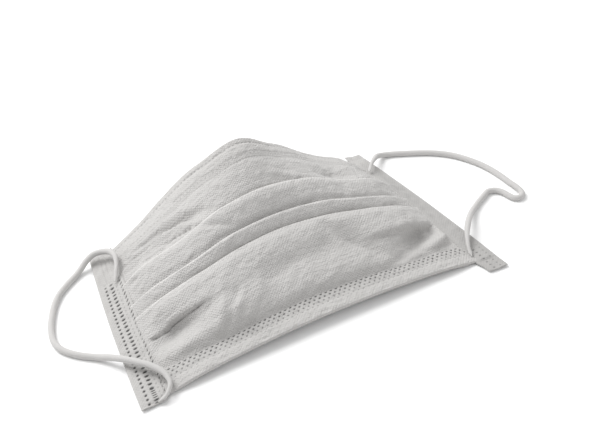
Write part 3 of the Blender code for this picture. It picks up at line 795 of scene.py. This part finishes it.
def add_loop(node, finish):
    """The round elastic, pressed flat where it is welded to the band at both ends."""
    route, length = smooth_route(np.array(LOOP_ROUTES[node]) * MM + SHIFT, LOOP_STEP)
    run = np.linspace(0, length, len(route))
    to_end = np.minimum(run, length - run)
    pressed = 1 - smooth(to_end / WELD_END)
    route[:, 2] -= LOOP_SEAT * (1 - smooth(to_end / (3 * WELD_END))) + WELD_DIP * pressed
    route[:, 2] = np.maximum(route[:, 2], LOOP_DIAMETER / 2)
    tangents = unit(np.gradient(route, axis=0))
    side = unit(np.cross(np.array([0, 0, 1.0]), tangents))
    top = np.cross(tangents, side)
    angles = np.linspace(0, 2 * math.pi, LOOP_SIDES, endpoint=False)
    closing = blend(BLUNT_END, 1.0, smooth(to_end / BLUNT_OVER))
    drawn = 1 - DRAWN * (1 - smooth((to_end - DRAWN_FROM) / (2 * WELD_END)))
    wide = LOOP_DIAMETER / 2 * drawn * closing
    tall = wide * (1 - FLATTENED * pressed)
    rings = []
    for k, point in enumerate(route):
        swell = 1 + TWIST * np.sin(run[k] * 2 * math.pi / TWIST_PITCH + 3 * angles)
        sideways = np.outer(np.cos(angles) * swell * wide[k], side[k])
        upwards = np.outer(np.sin(angles) * swell * tall[k], top[k])
        rings.append(point + sideways + upwards)
    points = np.array(rings)
    number = np.arange(len(rings) * LOOP_SIDES).reshape(len(rings), LOOP_SIDES)
    ahead = np.roll(number, -1, axis=1)
    faces = np.stack([number[:-1], number[1:], ahead[1:], ahead[:-1]], -1).reshape(-1, 4)[:, ::-1].tolist()
    faces.append(number[0][::-1].tolist())
    faces.append(number[-1].tolist())
    around = np.broadcast_to(angles * LOOP_DIAMETER / 2, points.shape[:2])
    along = np.broadcast_to(run[:, None], points.shape[:2])
    run_on = np.stack([around, along], -1).reshape(-1, 2)
    mesh = closed_mesh(node, points.reshape(-1, 3), faces, run_on)
    made = add_piece(node.replace("ear_loop", "elastic"), mesh, finish)
    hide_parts(node)


for loop_node in LOOP_ROUTES:
    add_loop(loop_node, elastic_finish)


def cloth_places():
    """Places across the cloth, a cell apart, into the bands' slots."""
    inside = np.linspace(-AT_MOUTH, AT_MOUTH, round(2 * AT_MOUTH * HALF_BOTTOM / CELL) + 1)
    slot = np.linspace(AT_MOUTH, AT_SLOT - 0.003, SLOT_COLUMNS)[1:]
    return np.concatenate([-slot[::-1], inside, slot])


def add_cloth():
    """The pleated cloth, from hem to hem and from slot to slot."""
    across = cloth_places()
    grid, painted_shading = cloth_grid(across)
    thickness = blend(CLOTH_PRESSED, CLOTH, free(across))[None, :]
    # the last argument is painted shade in the hollows and a painted highlight on the pleats' edges; the cloth
    # has no melted dots
    made = thick_sheet("pleated_cloth", grid, thickness, cloth_finish, HOLLOW_SHADE * painted_shading)
    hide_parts("mask_body")
    return made


# Rows of melted dots on the hems and bands: how dark they are, their pitch along the strip, the row's
# distance from the folded edge and a dot's size along and across the strip, in millimetres, and the row's
# stagger in pitches
DotRow = namedtuple("DotRow", "strength pitch at along across stagger")
NOSE_DOTS = [
    DotRow(0.30, 2.1, 3.1, 1.2, 0.8, 0.0),
    DotRow(0.22, 2.1, 9.6, 0.9, 0.6, 0.0),
]
CHIN_DOTS = [
    DotRow(0.45, 2.5, 6.3, 0.85, 0.85, 0.0),
    DotRow(0.60, 2.5, 8.3, 0.95, 0.95, 0.5),
    DotRow(0.80, 2.5, 10.3, 1.05, 1.05, 0.0),
    DotRow(1.00, 2.5, 12.2, 1.25, 1.25, 0.5),
]
LEFT_DOTS = [
    DotRow(1.00, 2.3, 3.5, 1.2, 1.3, 0.0),
    DotRow(0.35, 2.3, 9.2, 0.8, 0.8, 0.5),
    DotRow(0.90, 2.3, 11.4, 1.1, 1.1, 0.0),
]
LEFT_DASHES = DotRow(1.0, 2.3, 6.8, 1.2, 2.1, 0.0)
CLOSE_DASHES = DotRow(1.0, 1.15, 6.8, 0.7, 2.2, 0.0)
RIGHT_DOTS = [
    DotRow(0.40, 2.3, 3.0, 0.8, 0.9, 0.0),
    DotRow(0.50, 2.3, 6.3, 0.8, 1.2, 0.0),
]
HEM_DOT_DEPTH = 0.20 * MM
BAND_DOT_DEPTH = 0.22 * MM

HEM_TUCK = 0.02  # how far a hem runs on under the bands, as a share of the half width
HEM_LIFT_PRESSED = 0.45 * MM
CREPE_FROM = 1.5 * MM  # fine relief grows from a strip's folded edge over this
WIRE_BAND_FROM = 3.9 * MM  # the wire's raised band, in from the nose edge
WIRE_BAND_TO = 9.0 * MM
WIRE_BAND_SLOPE = 0.9 * MM
WIRE_BAND_HEIGHT = 0.42 * MM
WIRE_END_FADE = 0.02
NOSE_GROOVE = 0.20 * MM  # the groove that the nose hem's dots lie in
NOSE_GROOVE_WIDTH = 0.5 * MM
ZONE_FROM = 5.4 * MM  # where the chin hem's thin welded zone starts
ZONE_FADE = 1.2 * MM
ZONE_SHADE = 0.07
ZONE_DEPTH = 0.3 * MM
ROLL_FROM = 0.80  # right of this the chin edge is rolled up, with a crease beside it
ROLL_FADE = 0.07
ROLL_WIDTH = 7.0 * MM
ROLL_LEAST = 0.15 * MM
ROLL_HEIGHT = 1.0 * MM
ROLL_CREASE = 0.8 * MM
ROLL_CREASE_AT = 8.6 * MM
ROLL_CREASE_WIDTH = 0.8 * MM
HEM_WAVES_FROM = 2.0 * MM


def dot_rows(rows, run, depth):
    return sum(dots(row, run, depth) for row in rows)


def nose_relief(across, run, depth):
    """(stand, weld) of the nose hem: the wire's raised band, and rows of dots with a groove along one."""
    wired = smooth((WIRE_LENGTH_ACROSS / 2 / HALF_TOP - np.abs(across)) / WIRE_END_FADE)
    near = smooth((depth - WIRE_BAND_FROM) / WIRE_BAND_SLOPE)
    far = smooth((WIRE_BAND_TO - depth) / WIRE_BAND_SLOPE)
    groove = NOSE_GROOVE * bell(depth - NOSE_DOTS[0].at * MM, NOSE_GROOVE_WIDTH)
    return WIRE_BAND_HEIGHT * wired * near * far - groove, dot_rows(NOSE_DOTS, run, depth)


def chin_relief(across, run, depth):
    """(stand, weld) of the chin hem: rows of dots in a thin zone, and an edge that rolls up at the right."""
    weld = dot_rows(CHIN_DOTS, run, depth) + ZONE_SHADE * smooth((depth - ZONE_FROM) / ZONE_FADE)
    rolled = smooth((across - ROLL_FROM) / ROLL_FADE)
    stand = blend(ROLL_LEAST, ROLL_HEIGHT, rolled) * np.sin(math.pi * np.clip(depth / ROLL_WIDTH, 0, 1))
    stand = stand - ZONE_DEPTH * smooth((depth - ZONE_FROM) / MM)
    stand = stand - ROLL_CREASE * rolled * bell(depth - ROLL_CREASE_AT, ROLL_CREASE_WIDTH)
    return stand + ripples(HEM_WAVES, run, depth) * smooth(depth / HEM_WAVES_FROM), weld


def add_hem(name, node, width, at_nose):
    """A strip folded over the chin or nose edge, with its melted dots."""
    depths = folded_depths(width, HEM_LIFT, HEM_CELL)
    if at_nose:
        depths = [(depth, -side) for depth, side in depths]
    across = np.linspace(-AT_MOUTH - HEM_TUCK, AT_MOUTH + HEM_TUCK, HEM_COLUMNS)[None, :]
    depth = np.array([d for d, _ in depths])[:, None]
    side = np.array([s for _, s in depths])[:, None]
    place = 1 - depth / BAND_LENGTH if at_nose else depth / BAND_LENGTH
    middle = cloth_point(across, place)
    normal = cloth_normal(across, place)
    lift = pressed_lift(blend(HEM_LIFT_PRESSED, HEM_LIFT, free(across)), depth, width) * side
    over = np.clip(side, 0, 1)
    run = lengths_along(middle, 1)
    depth = np.broadcast_to(depth, run.shape)
    stand, weld = nose_relief(across, run, depth) if at_nose else chin_relief(across, run, depth)
    weld = np.clip(weld, 0, 1) * over
    stand = (stand + ripples(HEM_CREPE, run, depth) * smooth(depth / CREPE_FROM)) * free(across)
    stand = stand * edge_fade(depth, width)
    points = middle + normal * (lift + over * (stand - HEM_DOT_DEPTH * weld))[..., None]
    made = thick_sheet(name, points, blend(TAPE_PRESSED, TAPE, free(across)), hem_finish, weld)
    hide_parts(node)
    return made


CORNER = 3.2 * MM  # the width of the cut at a band's lower inner corner
TAIL_NARROWS = 0.08  # the share of its width that a tail loses
NARROW_FROM = 1.0 * MM
NARROW_OVER = 4.0 * MM
TAIL_LIFT = 0.20 * MM
TAIL_FROM = -0.2 * MM
TAIL_OVER = 1.5 * MM
FULL_LIFT_OVER = 3.0 * MM
DASHES_FROM = 20 * MM  # where the left band's dots and dashes start, from its nose end
DASHES_FADE = 5 * MM
DENSE_DASHES = 7.5 * MM  # how far from the chin end its dashes stand close together
LEFT_GROOVES = (5.2 * MM, 7.6 * MM, 9.8 * MM)  # pressed lines above them, in from the folded edge
GROOVE_WIDTH = 0.35 * MM
GROOVE_DEPTH = 0.25 * MM
RIGHT_DOTS_FROM = 84 * MM
RIGHT_DOTS_FADE = 8 * MM
RIGHT_SHADE = 0.15  # painted shade: the right band is painted a little darker away from its nose end
RIGHT_SHADE_OVER = 30 * MM
STAR_AT = (10.0 * MM, 18.3 * MM)  # the middle of the creases, in from the fold and from the nose end
STAR_CREASES = (-0.5, 0.15, 0.75, 1.5, 2.6)  # their directions
STAR_WIDTH = 0.4 * MM
STAR_REACH = 2.5 * MM


def star(depth, from_top):
    """Creases that spread from where a loop is welded onto a band, 1 at their middles."""
    x, y = depth - STAR_AT[0], from_top - STAR_AT[1]
    distance, angle = np.hypot(x, y), np.arctan2(y, x)
    creases = 0
    for crease in STAR_CREASES:
        off = distance * np.abs(np.sin(angle - crease))
        creases = creases + np.where(np.cos(angle - crease) > 0, bell(off, STAR_WIDTH), 0)
    return creases * np.exp(-distance / STAR_REACH)


def left_marks(run, depth, from_top, from_end):
    """(weld, groove) of the left band: rows of dots and dashes, with pressed lines and creases above them."""
    shown = smooth((from_top - DASHES_FROM) / DASHES_FADE)
    dashes = np.where(from_end < DENSE_DASHES, dots(CLOSE_DASHES, run, depth), dots(LEFT_DASHES, run, depth))
    lines = sum(bell(depth - at, GROOVE_WIDTH) for at in LEFT_GROOVES)
    return (dot_rows(LEFT_DOTS, run, depth) + dashes) * shown, lines * (1 - shown) + star(depth, from_top)


def right_marks(run, depth, from_top):
    """(marks, groove) of the right band: faint dots near its chin end, and painted shade away from its nose
    end.
    """
    low = smooth((from_top - RIGHT_DOTS_FROM) / RIGHT_DOTS_FADE)
    # painted shade on the right band
    shade = RIGHT_SHADE * smooth(from_top / RIGHT_SHADE_OVER)
    return dot_rows(RIGHT_DOTS, run, depth) * low + shade, 0.0


def add_band(name, node, sign, margin, tail_chin, tail_nose, corner_cut):
    """The tape folded over the cloth's side edge, with its tails and its columns of melted dots."""
    width = BAND_WIDTH - BAND_MARGIN + margin
    depths = folded_depths(width, FOLD_LIFT, FINE_CELL)
    if sign > 0:
        depths = depths[::-1]
    depth = np.array([d for d, _ in depths])[None, :]
    side = np.array([s for _, s in depths])[None, :]
    cut = smooth((depth - (width - CORNER)) / CORNER)
    chin_end = -(tail_chin - corner_cut * cut) / BAND_LENGTH
    nose_end = 1 + tail_nose / BAND_LENGTH
    share = spaced(BAND_LENGTH + tail_chin + tail_nose, FINE_CELL)[:, None]
    place = blend(chin_end, nose_end, share)
    past_end = np.maximum(-place, place - 1) * BAND_LENGTH
    depth = depth * (1 - TAIL_NARROWS * smooth((past_end - NARROW_FROM) / NARROW_OVER))
    across = sign * (AT_MOUTH + (width - depth) / HALF_BOTTOM)
    middle = cloth_point(across, place)
    normal = cloth_normal(across, place)
    inside = smooth((depth - 0.5 * margin) / FULL_LIFT_OVER)
    lift = pressed_lift(blend(FOLD_LIFT, BAND_LIFT, inside), depth, width)
    lift = blend(lift, TAIL_LIFT, smooth((past_end - TAIL_FROM) / TAIL_OVER))
    run = lengths_along(middle, 0)
    over = np.clip(side, 0, 1)
    from_top = (nose_end - place) * BAND_LENGTH
    from_end = (place - chin_end) * BAND_LENGTH
    if sign < 0:
        weld, groove = left_marks(run, depth, from_top, from_end)
    else:
        weld, groove = right_marks(run, depth, from_top)
    weld = np.clip(weld, 0, 1) * over
    crumple = ripples(BAND_WAVES, run, depth) * smooth(depth / CREPE_FROM) * edge_fade(depth, width)
    stand = side * lift + over * (crumple - BAND_DOT_DEPTH * weld - GROOVE_DEPTH * groove)
    made = thick_sheet(name, middle + normal * stand[..., None], TAPE, tape_finish, weld)
    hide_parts(node)
    return made


CUT_LEFT = 2.2 * MM
CUT_RIGHT = 0.4 * MM
cloth = add_cloth()
chin_strip = add_hem("chin_strip", "chin_hem", CHIN_HEM_WIDTH, False)
nose_strip = add_hem("nose_strip", "nose_hem", NOSE_HEM_WIDTH, True)
left_tape = add_band(
    "left_tape", "side_band_left", -1, BAND_MARGIN, TAIL_CHIN_LEFT, TAIL_NOSE_LEFT, CUT_LEFT
)
right_tape = add_band(
    "right_tape", "side_band_right", 1, BAND_MARGIN_RIGHT, TAIL_CHIN_RIGHT, TAIL_NOSE_RIGHT, CUT_RIGHT
)

WIRE_FROM = 3.6 * MM  # the wire's two long edges, in from the nose edge
WIRE_TO = 8.4 * MM
WIRE_LIFT = 0.45 * MM
WIRE_THICKNESS = 0.5 * MM
WIRE_COLUMNS = 80
WIRE_ROWS = 8


def add_wire():
    """The flat wire between the nose hem's two layers."""
    reach = WIRE_LENGTH_ACROSS / 2 / HALF_TOP
    across = np.linspace(-reach, reach, WIRE_COLUMNS)[None, :]
    place = 1 - np.linspace(WIRE_TO, WIRE_FROM, WIRE_ROWS)[:, None] / BAND_LENGTH
    points = cloth_point(across, place) + cloth_normal(across, place) * WIRE_LIFT
    made = thick_sheet("wire_strip", points, WIRE_THICKNESS, elastic_finish)
    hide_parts("nose_wire")


add_wire()

# The studio: a pale floor, even white light all round, and two soft lamps
FLOOR_REACH = 3
FLOOR_COLOUR = (0.92, 0.92, 0.92, 1)
FLOOR_ROUGHNESS = 0.9
WORLD_STRENGTH = 0.66
Lamp = namedtuple("Lamp", "name position size power")
LAMPS = [
    Lamp("key", (-0.33, 0.70, 0.90), 0.8, 14.0),
    Lamp("fill", (0.6, -0.8, 0.8), 1.0, 1.4),
]


def add_stage():
    mesh = bpy.data.meshes.new("floor")
    reach = FLOOR_REACH
    corners = [(-reach, -reach, 0), (reach, -reach, 0), (reach, reach, 0), (-reach, reach, 0)]
    mesh.from_pydata(corners, [], [(0, 1, 2, 3)])
    floor = bpy.data.objects.new("floor", mesh)
    made, _, shader = new_material("floor")
    shader.inputs["Base Color"].default_value = FLOOR_COLOUR
    shader.inputs["Roughness"].default_value = FLOOR_ROUGHNESS
    mesh.materials.append(made)
    bpy.context.scene.collection.objects.link(floor)
    world = bpy.data.worlds.new("studio")
    world.use_nodes = True
    world.node_tree.nodes["Background"].inputs[0].default_value = (1, 1, 1, 1)
    world.node_tree.nodes["Background"].inputs[1].default_value = WORLD_STRENGTH
    bpy.context.scene.world = world
    bpy.context.scene.view_settings.view_transform = "Standard"


def add_light(name, position, size, power):
    """A square lamp that points at the middle of the mask's base."""
    lamp = bpy.data.lights.new(name, "AREA")
    lamp.shape = "SQUARE"
    lamp.size = size
    lamp.energy = power
    light = bpy.data.objects.new(name, lamp)
    light.location = position
    light.rotation_euler = (-Vector(position)).to_track_quat("-Z", "Y").to_euler()
    bpy.context.scene.collection.objects.link(light)


add_stage()
for lamp in LAMPS:
    add_light(*lamp)
